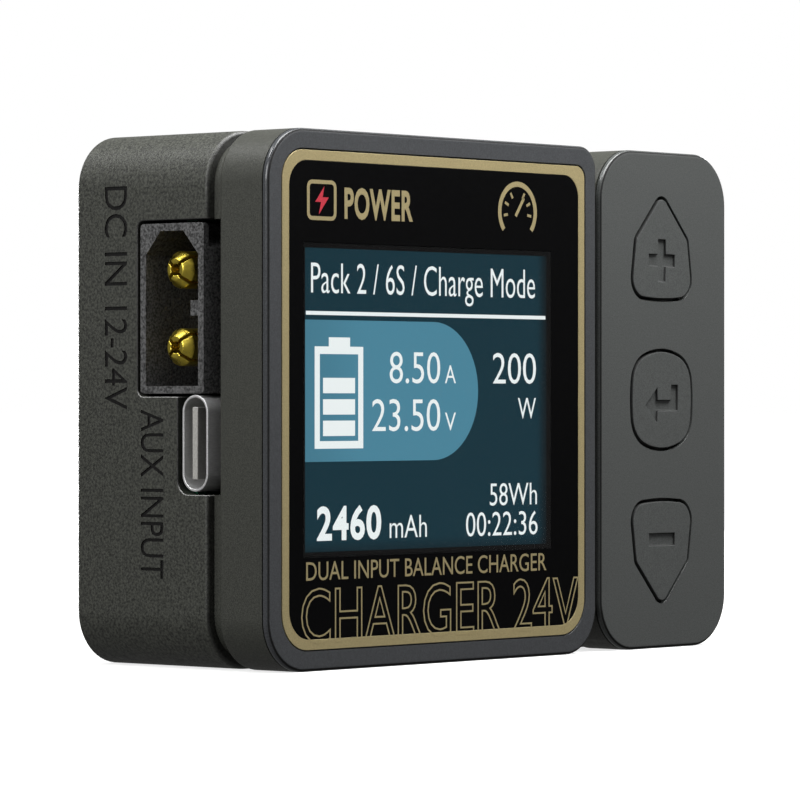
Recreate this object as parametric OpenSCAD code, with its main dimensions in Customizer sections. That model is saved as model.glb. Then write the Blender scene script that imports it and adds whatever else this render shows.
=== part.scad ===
// Balance battery charger for model aircraft, cars and boats.
// It stands upright on its lower edge: screen and keys face -Y, the power inlets
// face -X, the battery outlet and the balance socket face +X, the fan faces +Y.

/* [Case] */
// Width of the case
case_w = 70; // [70:1:76]
// Height of the case
case_h = 50; // [50:1:54]
// Depth from the screen's bezel to the rear face
case_d = 24.5; // [24.3:0.1:27]
// Corner radius of the rear shell and of the key panel
corner_r = 5.2; // [4:0.1:6]
// Wall of the rear shell
rear_wall = 1.6; // [1.4:0.1:1.8]
// Wall of the front shell
front_wall = 1.2; // [1.1:0.1:1.3]
// Fillet along the shells' outer edges
edge_r = 0.38; // [0.35:0.01:0.39]

/* [Front unit] */
// Width of the screen head
head_w = 48; // [48:0.5:49]
// Depth of the screen head
head_d = 6.07; // [6:0.01:6.2]
// Slot between the head and the key panel
slot_w = 1.3; // [1:0.1:1.5]
// How far the key panel sits behind the head's face
panel_set_back = 0.6; // [0.4:0.1:0.8]
// Lip of the shell round each face plate's plug
rim_w = 0.5; // [0.45:0.05:0.6]
// Thickness of the face plates where they show at the sides
plate_edge = 0.72; // [0.68:0.02:0.8]
// Shadow groove between the front unit and the rear shell
groove_w = 1.44; // [1.3:0.01:1.6]
// Depth of that groove
groove_d = 0.9; // [0.8:0.05:1]

/* [Screen] */
// Bezel between the head's outside and the gold border
bezel_w = 2; // [1.8:0.05:2.2]
// Width of the gold border
border_w = 0.95; // [0.8:0.05:1.1]
// Active area of the display, along X
lcd_w = 35.04; // [34:0.01:35.1]
// Active area of the display, along Z
lcd_h = 28.03; // [27:0.01:28.1]
// From the head's left side to the active area
lcd_left = 5.35; // [5:0.05:5.4]

/* [Keys] */
// Width of a key
key_w = 9.4; // [9:0.1:9.8]
// Height of a key
key_h = 10; // [9.8:0.1:10.2]
// Distance between key centres
key_pitch = 15.2; // [15:0.1:15.5]
// How far the keys sit left of the panel's middle
key_shift = 0.4; // [0:0.1:0.5]
// How far a key travels
key_travel = 0.4; // [0.3:0.05:0.4]
// Gap round each key
key_gap = 0.3; // [0.2:0.05:0.3]

/* [Power connectors] */
// Thickness of a power connector
power_t = 8.1; // [8:0.05:8.2]
// Height of a power connector
power_h = 15.8; // [15.6:0.1:16]
// Length of a power connector
power_l = 16; // [15:0.5:16]
// Diameter of a power pin
pin_d = 3.5; // [3.4:0.05:3.6]
// Distance between the two power pins
pin_pitch = 7.2; // [7.1:0.05:7.3]
// Height of the inlet's centre above the base
inlet_z = 33.5; // [33.4:0.1:33.8]
// Height of the outlet's centre above the base
outlet_z = 35.1; // [35:0.1:35.1]
// Height of the balance socket's centre above the base
balance_z = 15.6; // [15.5:0.1:15.7]
// Balance socket's contacts
balance_pins = 7; // [4:1:7]

/* [Type-C inlet] */
// Long side of the shell's oval
usb_w = 8.94; // [8.9:0.01:8.98]
// Short side of the shell's oval
usb_t = 3.26; // [3.2:0.01:3.3]
// Height of its centre above the base
usb_z = 21; // [20.8:0.1:21]

/* [Fan] */
// Side of the fan's square frame
fan_size = 30; // [28:1:30]
// Thickness of the fan
fan_t = 7; // [6:0.5:7]
// Number of blades
fan_blades = 7; // [5:1:9]

/* [Hidden] */
$fn = 64;

little = 0.02;                       // overlap that makes a union or a cut clean

// Planes along the depth, from the front
y_front = -case_d / 2;
y_back = case_d / 2;
y_head_back = y_front + head_d;
y_rear_front = y_head_back + groove_w;
y_fascia = y_front + panel_set_back;
floor_y = y_head_back - front_wall;  // floor of the front shell
slot_floor_y = y_head_back - 2.8;

// Left and right edges
x_left = -case_w / 2;
x_right = case_w / 2;
head_x1 = x_left + head_w;
panel_x0 = head_x1 + slot_w;
key_x = (panel_x0 + x_right) / 2 - key_shift;

// Corner radii, in the order top left, top right, bottom right, bottom left
rear_radii = [corner_r, corner_r, corner_r, corner_r];
head_radii = [5, 2.3, 4.5, 5];
border_radii = [2.8, 1.2, 3.5, 3.5];
border_inner_radii = [2.4, 2.2, 2.8, 2.8];

// Face plates
bezel_t = 1.4;
fascia_t = 1.2;
plate_gap = 0.05;
plate_seam = 0.12;                   // open line between a plate and its shell
label_t = 0.3;
y_label = y_front + 0.03;

// Gold border and label outlines
border_x0 = x_left + bezel_w;
border_x1 = head_x1 - bezel_w + 0.1;
border_z0 = bezel_w;
border_z1 = case_h - bezel_w;

// Display
lcd_x0 = x_left + lcd_left;
lcd_x1 = lcd_x0 + lcd_w;
mid_z = case_h / 2;
window_edge = 0.5;                   // window reaches this far past the active area
y_lcd = y_label + label_t + 0.02;
pcb_front_t = 1;
y_front_pcb = floor_y - pcb_front_t;
pcb_neck = 3;                        // neck between the board's halves overlaps each by this

// Keys, from the front: cap, retaining flange, plunger, switch
cap_proud = 0.07;
y_cap = y_fascia - cap_proud;
y_flange = y_fascia + fascia_t + 0.08;
flange_t = 0.5;
y_plunger = y_flange + flange_t;
switch_t = 0.87;
plunger_r = 1.1;
key_zs = [mid_z + key_pitch, mid_z, mid_z - key_pitch];

// Main board and what stands on it
main_pcb_t = 1.4;
usb_y = y_rear_front + usb_t / 2 + 0.01;
y_main = usb_y + usb_t / 2;
y_main_back = y_main + main_pcb_t;
power_y = y_rear_front + 0.6 + power_t / 2;
outlet_y = power_y + 1.2;
pocket_wall = 0.6;                   // sleeve round the outlet, on the rear shell
port_gap = 0.3;
inlet_x = x_left + 0.1;
outlet_x = x_right - 0.1;

// Screws
screw_xs = [-25, 25];
screw_zs = [4, case_h - 4];
screw_r = 1;
boss_r = 2;
head_recess = 1.1;

// Fan
y_fan1 = y_back - rear_wall - 0.05;
y_fan0 = y_fan1 - fan_t;
fan_bore_r = fan_size / 2 - 0.8;
hub_r = 7.6;
shaft_r = 0.75;

// ---------- shared shapes ----------

// Extrudes a profile drawn in X and Z along Y, from y0 to y1
module along_y(y0, y1) {
    translate([0, y1, 0]) rotate([90, 0, 0]) linear_extrude(y1 - y0) children();
}

// Extrudes a profile drawn in Y and Z along X, from x0 to x1
module along_x(x0, x1) {
    translate([x0, 0, 0]) rotate([90, 0, 90]) linear_extrude(x1 - x0) children();
}

// Box between two corners
module block(low, high) {
    translate(low) cube(high - low);
}

// Round bar along Y
module bar_y(x, z, r, y0, y1) {
    translate([x, y1, z]) rotate([90, 0, 0]) cylinder(r = r, h = y1 - y0);
}

// Round bar along X
module bar_x(y, z, r, x0, x1) {
    translate([x0, y, z]) rotate([0, 90, 0]) cylinder(r = r, h = x1 - x0);
}

// What a round corner of radius r cuts away, in the quadrant turned by a
module corner_waste(x, z, r, a) {
    translate([x, z]) rotate(a) difference() {
        square(r + 1);
        circle(r);
    }
}

// Rectangle with its own radius at each corner: top left, top right,
// bottom right, bottom left
module round_rect(x0, x1, z0, z1, r) {
    difference() {
        translate([x0, z0]) square([x1 - x0, z1 - z0]);
        corner_waste(x0 + r[0], z1 - r[0], r[0], 90);
        corner_waste(x1 - r[1], z1 - r[1], r[1], 0);
        corner_waste(x1 - r[2], z0 + r[2], r[2], -90);
        corner_waste(x0 + r[3], z0 + r[3], r[3], 180);
    }
}

// The same, moved inwards by d
module inset_rect(x0, x1, z0, z1, r, d) {
    round_rect(x0 + d, x1 - d, z0 + d, z1 - d, [for (c = r) max(c - d, 0.3)]);
}

// Oval: a rectangle with round ends, long along the second axis
module oval(w, h) {
    union() {
        square([w, h - w], center = true);
        for (s = [-1, 1]) translate([0, s * (h - w) / 2]) circle(w / 2);
    }
}

// Quarter-round corner post of a filleted block, turned about Y
module corner_post(x, z, r, y0, y1, f0, f1) {
    translate([x, 0, z]) rotate([-90, 0, 0]) rotate_extrude() union() {
        translate([0, y0]) square([r - f0, f0 + little]);
        translate([0, y0 + f0]) square([r, y1 - f1 - y0 - f0]);
        translate([0, y1 - f1 - little]) square([r - f1, f1 + little]);
        intersection() {
            translate([r - f0, y0 + f0]) circle(f0, $fn = 32);
            translate([0, y0]) square([r, f0]);
        }
        intersection() {
            translate([r - f1, y1 - f1]) circle(f1, $fn = 32);
            translate([0, y1 - f1]) square([r, f1]);
        }
    }
}

// Block with round corners and filleted front and rear edges
module soft_block(x0, x1, z0, z1, r, y0, y1, f0, f1) {
    along_y(y0 + f0, y1 - f1) round_rect(x0, x1, z0, z1, r);
    along_y(y0, y0 + f0 + little) inset_rect(x0, x1, z0, z1, r, f0);
    along_y(y1 - f1 - little, y1) inset_rect(x0, x1, z0, z1, r, f1);
    corner_post(x0 + r[0], z1 - r[0], r[0], y0, y1, f0, f1);
    corner_post(x1 - r[1], z1 - r[1], r[1], y0, y1, f0, f1);
    corner_post(x1 - r[2], z0 + r[2], r[2], y0, y1, f0, f1);
    corner_post(x0 + r[3], z0 + r[3], r[3], y0, y1, f0, f1);
    for (edge = [[y0 + f0, f0], [y1 - f1, f1]]) {
        y = edge[0];
        f = edge[1];
        bar_x(y, z1 - f, f, x0 + r[0], x1 - r[1]);
        bar_x(y, z0 + f, f, x0 + r[3], x1 - r[2]);
        translate([x0 + f, y, z0 + r[3]]) cylinder(r = f, h = z1 - z0 - r[3] - r[0]);
        translate([x1 - f, y, z0 + r[2]]) cylinder(r = f, h = z1 - z0 - r[2] - r[1]);
    }
}

// ---------- shells ----------

vent_count = 9;
vent_pitch = 3;
vent_y = 6;
vent_size = [1.3, 6];
port_r = 0.7;                        // corner radius of the side openings
grille_rings = [5.2, 8.4, 11.6];
grille_slot = 2;
fan_peg_at = fan_size / 2 - 2.6;

// Arc slots in front of the fan, interrupted by spokes
module grille_cut() {
    difference() {
        for (r = grille_rings) difference() {
            bar_y(0, mid_z, r + grille_slot, y_back - 2 * rear_wall, y_back + 1);
            bar_y(0, mid_z, r, y_back - 2 * rear_wall - 1, y_back + 2);
        }
        for (a = [45, 135]) translate([0, 0, mid_z]) rotate([0, a, 0])
            block([-fan_size, y_back - 3 * rear_wall, -0.9], [fan_size, y_back + 3, 0.9]);
    }
}

// Outlet vents through the top and the bottom wall
module vents() {
    for (i = [0 : vent_count - 1]) {
        x = (i - (vent_count - 1) / 2) * vent_pitch;
        translate([x, vent_y, -1]) linear_extrude(case_h + 2) oval(vent_size[0], vent_size[1]);
    }
}

// Side openings, which run out to the shell's front edge
module left_ports(y0, x0, x1) {
    inlet_top = inlet_z + power_h / 2 + port_gap;
    inlet_low = inlet_z - power_h / 2 - port_gap;
    inlet_y = power_y + power_t / 2 + port_gap;
    along_x(x0, x1) {
        round_rect(y0 - 2, inlet_y, inlet_low, inlet_top, [port_r, port_r, port_r, port_r]);
        round_rect(y0 - 2, usb_y + usb_t / 2 + 1.8 * port_gap, usb_z - usb_w / 2 - port_gap,
                   inlet_low + 1, [port_r, 0.3, 1.3, port_r]);
    }
}

// Pocket that the battery plug's shroud enters, grown by d
module outlet_pocket(x0, x1, d) {
    half_t = power_t / 2 + port_gap + d;
    half_h = power_h / 2 + port_gap + d;
    along_x(x0, x1)
        round_rect(outlet_y - half_t, outlet_y + half_t, outlet_z - half_h,
                   outlet_z + half_h, [port_r, port_r, port_r, port_r]);
}

pocket_x0 = outlet_x - power_l + 5.5;
balance_w = (balance_pins - 1) * 2.5 + 4.9;
balance_t = 5.75;
balance_l = 7;

module rear_shell() {
    color([0.24, 0.24, 0.23]) difference() {
        union() {
            difference() {
                soft_block(x_left, x_right, 0, case_h, rear_radii, y_rear_front, y_back,
                           edge_r, edge_r);
                along_y(y_rear_front - 1, y_back - rear_wall)
                    inset_rect(x_left, x_right, 0, case_h, rear_radii, rear_wall);
            }
            for (x = screw_xs, z = screw_zs) {
                bar_y(x, z, boss_r, y_main_back + 0.03, y_back - rear_wall + little);
            }
            outlet_pocket(pocket_x0, x_right - rear_wall + little, pocket_wall);
            for (x = [-1, 1], z = [-1, 1]) {
                bar_y(x * fan_peg_at, mid_z + z * fan_peg_at, 1.1, y_fan1 - 3,
                      y_back - rear_wall + little);
            }
        }
        for (x = screw_xs, z = screw_zs) {
            bar_y(x, z, screw_r + 0.15, y_main, y_back + 1);
            bar_y(x, z, boss_r + 0.1, y_back - head_recess, y_back + 1);
        }
        grille_cut();
        vents();
        left_ports(y_rear_front, x_left - 1, x_left + 2 * rear_wall);
        outlet_pocket(pocket_x0 - 1, x_right + 1, 0);
        block([x_right - 2 * rear_wall, y_main_back - 0.25, balance_z - balance_w / 2 - 0.25],
              [x_right + 1, y_main_back + balance_t + 0.25, balance_z + balance_w / 2 + 0.25]);
    }
}

module head_profile(d) {
    inset_rect(x_left, head_x1, 0, case_h, head_radii, d);
}

module panel_profile(d) {
    inset_rect(panel_x0, x_right, 0, case_h, rear_radii, d);
}

// Whole head and whole key panel, of which the face plates are the front slices
module head_block() {
    soft_block(x_left, head_x1, 0, case_h, head_radii, y_front, y_head_back, edge_r, edge_r);
}

module panel_block() {
    soft_block(panel_x0, x_right, 0, case_h, rear_radii, y_fascia, y_head_back, edge_r, edge_r);
}

// Everything between x0 and x1 that lies between y0 and y1
module slice(x0, x1, y0, y1) {
    block([x0, y0, -1], [x1, y1, case_h + 1]);
}

module front_shell() {
    slot_x = head_x1 + slot_w / 2;
    bridge_end = 3.2;                // bridge behind the slot stops this far from its ends
    passage_end = 8;                 // so does the passage through it for the front board
    opening_end = 9;                 // and the opening in the floor for the board header
    tongue_wall = 1;
    tongue_h = 1.8;
    color([0.25, 0.25, 0.24]) difference() {
        union() {
            head_block();
            panel_block();
            block([head_x1 - 1, slot_floor_y, bridge_end],
                  [panel_x0 + 1, y_head_back, case_h - bridge_end]);
            difference() {
                union() {
                    along_y(y_head_back - 1, y_rear_front - little)
                        inset_rect(x_left, x_right, 0, case_h, rear_radii, groove_d);
                    along_y(y_rear_front - 2 * little, y_rear_front + tongue_h)
                        inset_rect(x_left, x_right, 0, case_h, rear_radii, rear_wall + 0.1);
                }
                along_y(y_head_back, y_rear_front + 3)
                    inset_rect(x_left, x_right, 0, case_h, rear_radii,
                               rear_wall + 0.1 + tongue_wall);
            }
            for (x = screw_xs, z = screw_zs) {
                bar_y(x, z, boss_r, floor_y + little, y_main - 0.03);
            }
        }
        // room for the two face plates
        slice(x_left - 1, slot_x, y_front - 1, y_front + plate_edge);
        slice(slot_x, x_right + 1, y_front - 1, y_fascia + plate_edge);
        // seats for their plugs
        along_y(y_front, y_front + bezel_t) head_profile(rim_w);
        along_y(y_fascia, y_fascia + fascia_t) panel_profile(rim_w);
        // hollows behind them
        along_y(y_front, floor_y) head_profile(front_wall);
        along_y(y_fascia, floor_y) panel_profile(front_wall);
        // passage for the front board behind the slot
        block([head_x1 - pcb_neck, y_front_pcb - 0.15, passage_end],
              [panel_x0 + pcb_neck, floor_y, case_h - passage_end]);
        // opening for the board header
        block([-20, floor_y - 1, opening_end], [10, y_rear_front, case_h - opening_end]);
        for (x = screw_xs, z = screw_zs) {
            bar_y(x, z, screw_r + 0.02, floor_y + 0.6, y_main);
        }
        left_ports(y_head_back + 2, x_left - 1, x_left + 4);
        block([x_right - 4, y_rear_front + little, outlet_z - power_h / 2 - 1.2],
              [x_right + 1, y_rear_front + 3, outlet_z + power_h / 2 + 1.1]);
    }
}

module head_bezel() {
    ledge = 2.2;
    color([0.29, 0.3, 0.31]) difference() {
        union() {
            difference() {
                head_block();
                slice(x_left - 1, head_x1 + 1, y_front + plate_edge - plate_seam, y_head_back + 1);
            }
            along_y(y_front + edge_r, y_front + bezel_t - little) head_profile(rim_w + plate_gap);
        }
        along_y(y_front - 1, y_label + label_t)
            inset_rect(border_x0, border_x1, border_z0, border_z1, border_radii, -0.13);
        along_y(y_front - 1, y_front + 3)
            inset_rect(border_x0, border_x1, border_z0, border_z1, border_radii, ledge);
    }
}

module gold_border() {
    color([0.66, 0.59, 0.42]) difference() {
        along_y(y_label, y_label + label_t - little)
            round_rect(border_x0, border_x1, border_z0, border_z1, border_radii);
        along_y(y_label - 1, y_label + 3)
            round_rect(border_x0 + border_w, border_x1 - border_w, border_z0 + border_w,
                       border_z1 - border_w, border_inner_radii);
    }
}

module screen_label() {
    gap = 0.03;
    color([0.05, 0.05, 0.05]) difference() {
        along_y(y_label, y_label + label_t - little)
            inset_rect(border_x0 + border_w, border_x1 - border_w, border_z0 + border_w,
                       border_z1 - border_w, border_inner_radii, gap);
        block([lcd_x0 - window_edge, y_label - 1, mid_z - lcd_h / 2 - window_edge],
              [lcd_x1 + window_edge, y_label + 3, mid_z + lcd_h / 2 + window_edge]);
    }
}

module screen_window() {
    gap = 0.03;
    reach = window_edge - gap;
    color([0.7, 0.8, 0.85, 0.3])
        block([lcd_x0 - reach, y_label, mid_z - lcd_h / 2 - reach],
              [lcd_x1 + reach, y_label + label_t - little, mid_z + lcd_h / 2 + reach]);
}

// ---------- display ----------

lcd_glass_t = 1.45;
lcd_glass_edge = 0.7;
lcd_driver_edge = 3;                 // wider border that carries the driver

module lcd_glass_outline(d) {
    translate([lcd_x0 - lcd_glass_edge - d, mid_z - lcd_h / 2 - lcd_glass_edge - d])
        square([lcd_w + lcd_glass_edge + lcd_driver_edge + 2 * d,
                lcd_h + 2 * lcd_glass_edge + 2 * d]);
}

module lcd_panel() {
    color([0.08, 0.14, 0.18]) along_y(y_lcd, y_lcd + lcd_glass_t) lcd_glass_outline(0);
}

module lcd_frame() {
    color([0.85, 0.85, 0.85]) difference() {
        along_y(y_front + bezel_t + 0.05, y_front_pcb - 0.2) lcd_glass_outline(0.9);
        along_y(y_lcd - 1, y_lcd + lcd_glass_t + 0.02) lcd_glass_outline(0.05);
    }
}

// Ribbon that turns from the display's edge down to the front board
module lcd_flex() {
    bend_x = lcd_x1 + lcd_driver_edge + 0.9;
    tail = 5;
    outer = 0.7;
    inner = 0.56;
    bend_y = y_front_pcb - outer;
    color([0.75, 0.45, 0.1]) translate([0, 0, mid_z - 7]) linear_extrude(14) {
        intersection() {
            difference() {
                translate([bend_x, bend_y]) circle(outer);
                translate([bend_x, bend_y]) circle(inner);
            }
            translate([bend_x, bend_y - 2]) square([2, 4]);
        }
        translate([bend_x - tail, bend_y + inner]) square([tail, outer - inner]);
    }
}

// ---------- keys ----------

// Key outline that points up: bowed base, tapering sides, sloping shoulders, round tip
module arrow_outline(d) {
    base_r = 1.9;
    side = key_w / 2 - base_r;
    taper = 0.5;
    shoulder_r = 0.8;
    hull() {
        for (i = [-2 : 2]) {
            x = side * i / 2;
            translate([x, -key_h / 2 + base_r + x * x / 56]) circle(base_r + d, $fn = 48);
        }
        for (s = [-1, 1]) {
            translate([s * (key_w / 2 - taper - shoulder_r), 0.6])
                circle(shoulder_r + d, $fn = 32);
        }
        translate([0, key_h / 2 - 1]) circle(1 + d, $fn = 32);
    }
}

// Middle key's outline: a square with bowed sides and large corners
module barrel_outline(d) {
    corner = 2.9;
    half_w = key_w / 2 + 0.12 - corner;
    half_h = key_h / 2 - 0.15 - corner;
    side_r = 14;
    end_r = 5;
    offset(corner + d) intersection() {
        translate([half_w - side_r, 0]) circle(side_r, $fn = 180);
        translate([side_r - half_w, 0]) circle(side_r, $fn = 180);
        translate([0, half_h - end_r]) circle(end_r, $fn = 90);
        translate([0, end_r - half_h]) circle(end_r, $fn = 90);
    }
}

module key_outline(kind, d) {
    if (kind == 0) arrow_outline(d);
    if (kind == 1) barrel_outline(d);
    if (kind == 2) mirror([0, 1]) arrow_outline(d);
}

// Symbols engraved in the caps
symbol_depth = 0.25;
module symbol(kind) {
    long = 4.2;
    thick = 1.2;
    lift = 1.15;
    if (kind == 0) translate([0, -lift]) {
        square([long, thick], center = true);
        square([thick, long], center = true);
    }
    if (kind == 2) translate([0, lift]) square([long, thick], center = true);
    if (kind == 1) polygon([[1.55, 1.5], [2.6, 1.5], [2.6, -1.05], [-0.75, -1.05], [-0.75, -2.25],
                            [-2.7, -0.55], [-0.75, 1.2], [-0.75, -0.05], [1.55, -0.05]]);
}

module key_cap(kind) {
    color([0.3, 0.31, 0.3]) difference() {
        translate([key_x, 0, key_zs[kind]]) union() {
            along_y(y_cap, y_flange + little) key_outline(kind, 0);
            along_y(y_flange, y_flange + flange_t) key_outline(kind, 0.7);
        }
        translate([key_x, 0, key_zs[kind]])
            along_y(y_cap - 1, y_cap + symbol_depth) symbol(kind);
    }
}

module key_plus() { key_cap(0); }
module key_enter() { key_cap(1); }
module key_minus() { key_cap(2); }

module plunger(kind) {
    color([0.85, 0.75, 0.3])
        bar_y(key_x, key_zs[kind], plunger_r, y_plunger, y_plunger + 0.7);
}

module plunger_plus() { plunger(0); }
module plunger_enter() { plunger(1); }
module plunger_minus() { plunger(2); }

module key_switches() {
    half = 2.6;
    color([0.7, 0.71, 0.72]) for (z = key_zs) difference() {
        block([key_x - half, y_front_pcb - switch_t, z - half],
              [key_x + half, y_front_pcb, z + half]);
        bar_y(key_x, z, plunger_r + 0.1, y_front_pcb - 2, y_front_pcb - 0.2);
    }
}

module keypad_fascia() {
    color([0.33, 0.34, 0.33]) difference() {
        union() {
            difference() {
                panel_block();
                slice(panel_x0 - 1, x_right + 1, y_fascia + plate_edge - plate_seam,
                      y_head_back + 1);
            }
            along_y(y_fascia + edge_r, y_fascia + fascia_t - little)
                panel_profile(rim_w + plate_gap);
        }
        for (kind = [0 : 2]) translate([key_x, 0, key_zs[kind]])
            along_y(y_fascia - 1, y_fascia + 3) key_outline(kind, key_gap);
    }
}

// ---------- boards ----------

module front_pcb() {
    edge = front_wall + 0.6;
    neck_end = 9;
    color([0.05, 0.25, 0.15]) along_y(y_front_pcb, floor_y - little) union() {
        head_profile(edge);
        panel_profile(edge);
        translate([head_x1 - pcb_neck, neck_end])
            square([slot_w + 2 * pcb_neck, case_h - 2 * neck_end]);
    }
}

module main_pcb() {
    edge = rear_wall + 0.5;
    reach = power_l + 0.3;
    color([0.05, 0.25, 0.15]) difference() {
        along_y(y_main, y_main_back) inset_rect(x_left, x_right, 0, case_h, rear_radii, edge);
        for (x = screw_xs, z = screw_zs) bar_y(x, z, screw_r + 0.2, y_main - 1, y_main + 3);
        block([x_left, y_main - 1, inlet_z - power_h / 2 - 0.2],
              [x_left + reach, y_main + 3, inlet_z + power_h / 2 + 0.2]);
        block([x_right - reach, y_main - 1, outlet_z - power_h / 2 - 0.2],
              [x_right, y_main + 3, outlet_z + power_h / 2 + 0.2]);
        block([pocket_x0 - 0.4, y_main - 1, outlet_z - power_h / 2 - 1.1],
              [x_right, y_main + 3, outlet_z + power_h / 2 + 1.1]);
    }
}

// Pin header that joins the two boards
module board_header() {
    pins = 10;
    pitch = 1.27;
    half = 1.6;
    x = -5;
    z = 13;
    color([0.12, 0.12, 0.12]) {
        block([x - pins * pitch / 2, floor_y, z - half], [x + pins * pitch / 2, y_main, z + half]);
    }
}

module controller_chip() {
    color([0.08, 0.08, 0.08]) {
        block([-9, y_main - 1, 27], [-2, y_main, 34]);
        block([4, y_main - 0.9, 22], [8, y_main, 27]);
    }
}

module buzzer() {
    x = 14;
    z = 33;
    color([0.1, 0.1, 0.1]) difference() {
        bar_y(x, z, 4.2, y_main - 3.2, y_main);
        bar_y(x, z, 0.8, y_main - 4, y_main - 1.6);
    }
}

// ---------- inlets ----------

// Inside of a power connector: upper corners cut off, to key the plug
module power_profile(t, h, cut) {
    polygon([[-t / 2, -h / 2], [t / 2, -h / 2], [t / 2, h / 2 - cut * 1.15], [t / 2 - cut, h / 2],
             [-t / 2 + cut, h / 2], [-t / 2, h / 2 - cut * 1.15]]);
}

pin_root_r = 1.5;                    // the part of a pin that its housing grips
inlet_depth = power_l - 3;

module dc_inlet_housing() {
    wall = 0.7;
    rib = 0.95;
    depth = inlet_depth;
    color([0.2, 0.2, 0.2]) difference() {
        translate([0, power_y, inlet_z]) union() {
            along_x(inlet_x, inlet_x + 0.7)
                round_rect(-power_t / 2, power_t / 2, -power_h / 2, power_h / 2,
                           [0.4, 0.4, 0.4, 0.4]);
            along_x(inlet_x + 0.7 - little, inlet_x + power_l) power_profile(power_t, power_h, 2);
        }
        translate([0, power_y, inlet_z]) difference() {
            along_x(inlet_x - 1, inlet_x + depth)
                power_profile(power_t - 2 * wall, power_h - 2 * wall, 1.9);
            block([inlet_x - 2, -power_t, -0.7], [inlet_x + depth, -power_t / 2 + wall + rib, 0.7]);
        }
        for (s = [-1, 1])
            bar_x(power_y, inlet_z + s * pin_pitch / 2, pin_root_r + 0.01,
                  inlet_x + depth - 1, inlet_x + power_l + 1);
    }
}

// Round pins with a hollow nose split in four, and a solder tab behind
module dc_inlet_pins() {
    nose = inlet_x + 0.45;
    tail = inlet_x + power_l;
    r = pin_d / 2;
    color([0.85, 0.7, 0.2]) for (s = [-1, 1]) translate([0, power_y, inlet_z + s * pin_pitch / 2])
        difference() {
            union() {
                bar_x(0, 0, r, nose + 0.8, inlet_x + inlet_depth - little);
                bar_x(0, 0, pin_root_r, nose + 2, tail);
                translate([nose + 0.8, 0, 0]) rotate([0, -90, 0])
                    cylinder(r1 = r, r2 = r - 0.75, h = 0.8);
                block([tail - little, y_main_back - power_y, -1.2],
                      [tail + 2.6, y_main_back - power_y + 0.8, 1.2]);
            }
            bar_x(0, 0, 0.55, nose - 1, nose + 5);
            for (a = [45, 135]) rotate([a, 0, 0]) block([nose - 1, -3, -0.16], [nose + 4, 3, 0.16]);
        }
}

module type_c_shell() {
    skin = 0.25;
    back = x_left + 0.05 + 7.35;
    color([0.75, 0.76, 0.77]) difference() {
        translate([0, usb_y, usb_z]) along_x(x_left + 0.05, back) oval(usb_t, usb_w);
        translate([0, usb_y, usb_z]) along_x(x_left - 1, back - 0.5)
            oval(usb_t - 2 * skin, usb_w - 2 * skin);
    }
}

module type_c_tongue() {
    back = x_left + 7.4 - 0.5;
    color([0.35, 0.35, 0.35]) translate([0, usb_y, usb_z]) {
        block([x_left + 0.05, -0.35, -3.35], [back - 1.2, 0.35, 3.35]);
        along_x(back - 1.2 - little, back - 0.02) oval(usb_t - 0.52, usb_w - 0.52);
    }
}

// ---------- outlets ----------

module battery_outlet_housing() {
    base = outlet_x - power_l;
    lip = 1;
    color([0.75, 0.6, 0.15]) difference() {
        translate([0, outlet_y, outlet_z]) union() {
            along_x(base, pocket_x0) power_profile(power_t, power_h, 2);
            along_x(pocket_x0 - little, outlet_x - 0.3)
                power_profile(power_t - 2 * lip - 0.1, power_h - 2 * lip - 0.1, 1.9);
        }
        for (s = [-1, 1])
            bar_x(outlet_y, outlet_z + s * pin_pitch / 2, 2.26, base - 1, outlet_x + 1);
    }
}

module battery_outlet_sockets() {
    base = outlet_x - power_l;
    color([0.85, 0.7, 0.2]) for (s = [-1, 1])
        translate([0, outlet_y, outlet_z + s * pin_pitch / 2]) difference() {
            union() {
                bar_x(0, 0, 2.24, base, outlet_x - 0.9);
                block([base - 2.6, y_main_back - outlet_y, -1.2],
                      [base + little, y_main_back - outlet_y + 0.8, 1.2]);
            }
            bar_x(0, 0, pin_d / 2 + 0.03, base + 3.5, outlet_x);
        }
}

module balance_socket_housing() {
    wall = 0.75;
    x0 = outlet_x - balance_l;
    z0 = balance_z - balance_w / 2;
    z1 = balance_z + balance_w / 2;
    y0 = y_main_back;
    y1 = y_main_back + balance_t;
    color([0.85, 0.85, 0.82]) difference() {
        block([x0, y0, z0], [outlet_x, y1, z1]);
        block([x0 + 1.2, y0 + wall, z0 + wall], [outlet_x + 1, y1 - wall, z1 - wall]);
        for (z = [z0 + 3.2, z1 - 4.4])
            block([x0 + 2.5, y1 - 2 * wall, z], [outlet_x + 1, y1 + 1, z + 1.2]);
        for (i = [0 : balance_pins - 1])
            balance_pin(i, x0 - 1, x0 + 3, 0.33);
    }
}

module balance_pin(i, x0, x1, half) {
    y = y_main_back + 2.4;
    z = balance_z + (i - (balance_pins - 1) / 2) * 2.5;
    block([x0, y - half, z - half], [x1, y + half, z + half]);
}

module balance_socket_pins() {
    color([0.8, 0.8, 0.78]) for (i = [0 : balance_pins - 1])
        balance_pin(i, outlet_x - balance_l - 1.5, outlet_x - 1.4, 0.32);
}

// ---------- fan ----------

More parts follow.
